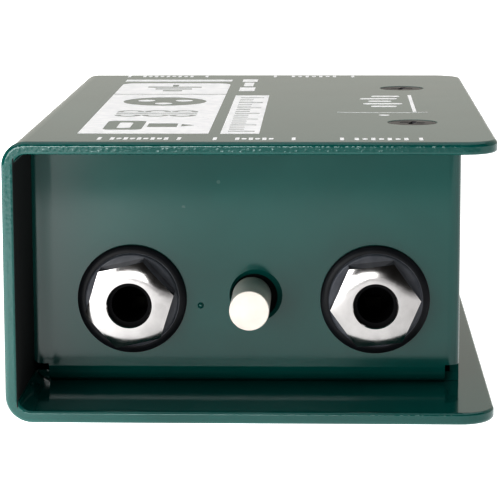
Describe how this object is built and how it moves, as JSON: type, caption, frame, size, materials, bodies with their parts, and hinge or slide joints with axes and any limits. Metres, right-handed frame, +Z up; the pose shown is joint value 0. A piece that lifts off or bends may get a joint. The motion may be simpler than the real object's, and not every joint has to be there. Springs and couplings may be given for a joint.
{
  "type": "direct injection box",
  "caption": "Passive direct box: folded steel shell open on one side, recessed panels with quarter-inch jacks, push switches and a three-pin output.",
  "frame": {"origin": "centre of the footprint, on the plane that the non-slip pad stands on", "axes": "+X to the open side, +Y from the input panel to the output panel, +Z up"},
  "size_m": [0.084, 0.127, 0.0496],
  "materials": {
    "green_powder_coat": "semi-gloss powder coat",
    "black_rubber": "fine matt texture",
    "black_screw": "black oxide",
    "zinc_steel": "zinc plated",
    "polished_nut": "polished",
    "black_nylon": "satin moulding",
    "cream_cap": "smooth moulding",
    "white_stem": "smooth moulding",
    "spring_steel": "drawn wire",
    "tinned_contact": "tin plated",
    "output_shell_black": "black chrome",
    "silver_pin": "silver plated",
    "shield_can": "annealed shield",
    "lamination": "stacked laminations",
    "bobbin": "moulding",
    "winding": "enamelled copper",
    "board_green": "solder mask",
    "component": "coated",
    "wire_insulation": "insulation"
  },
  "bodies": {
    "enclosure": {"board_screws": "zinc_steel", "board_standoffs": "zinc_steel", "bottom_screws": "black_screw", "clinch_nuts": "zinc_steel", "earth_lead": "wire_insulation", "earth_tag": "tinned_contact", "film_capacitors": "component", "inner_chassis": "green_powder_coat", "input_jack_housing": "black_nylon", "input_jack_nut": "polished_nut", "input_jack_washer": "black_nylon", "input_sleeve_contact": "tinned_contact", "input_tip_contact": "tinned_contact", "lift_switch_housing": "black_nylon", "lift_switch_spring": "spring_steel", "lift_switch_terminals": "tinned_contact", "main_board": "board_green", "non_slip_pad": "black_rubber", "outer_shell": "green_powder_coat", "output_insert": "black_nylon", "output_leads": "wire_insulation", "output_nuts": "zinc_steel", "output_pins": "silver_pin", "output_screws": "black_screw", "output_shell": "output_shell_black", "pad_resistors": "component", "pad_switch_housing": "black_nylon", "pad_switch_spring": "spring_steel", "pad_switch_terminals": "tinned_contact", "thru_jack_housing": "black_nylon", "thru_jack_nut": "polished_nut", "thru_jack_washer": "black_nylon", "thru_sleeve_contact": "tinned_contact", "thru_tip_contact": "tinned_contact", "top_screws": "black_screw", "transformer_base": "black_nylon", "transformer_bobbin": "bobbin", "transformer_can": "shield_can", "transformer_core": "lamination", "transformer_pins": "tinned_contact", "transformer_primary": "winding", "transformer_secondary": "winding"},
    "pad_button": {"pad_switch_stem": "white_stem", "pad_switch_cap": "cream_cap", "pad_switch_bridges": "tinned_contact"},
    "lift_button": {"lift_switch_stem": "white_stem", "lift_switch_cap": "cream_cap", "lift_switch_bridges": "tinned_contact"}
  },
  "joints": [
    {"name": "pad_switch_push", "type": "slide", "parent": "enclosure", "child": "pad_button", "axis": [0, 1, 0], "range_m": [0, 0.003], "stiffness_N_per_m": 300, "springref_m": -0.004, "deforming": ["pad_switch_spring"]},
    {"name": "lift_switch_push", "type": "slide", "parent": "enclosure", "child": "lift_button", "axis": [0, -1, 0], "range_m": [0, 0.003], "stiffness_N_per_m": 300, "springref_m": -0.004, "deforming": ["lift_switch_spring"]}
  ]
}
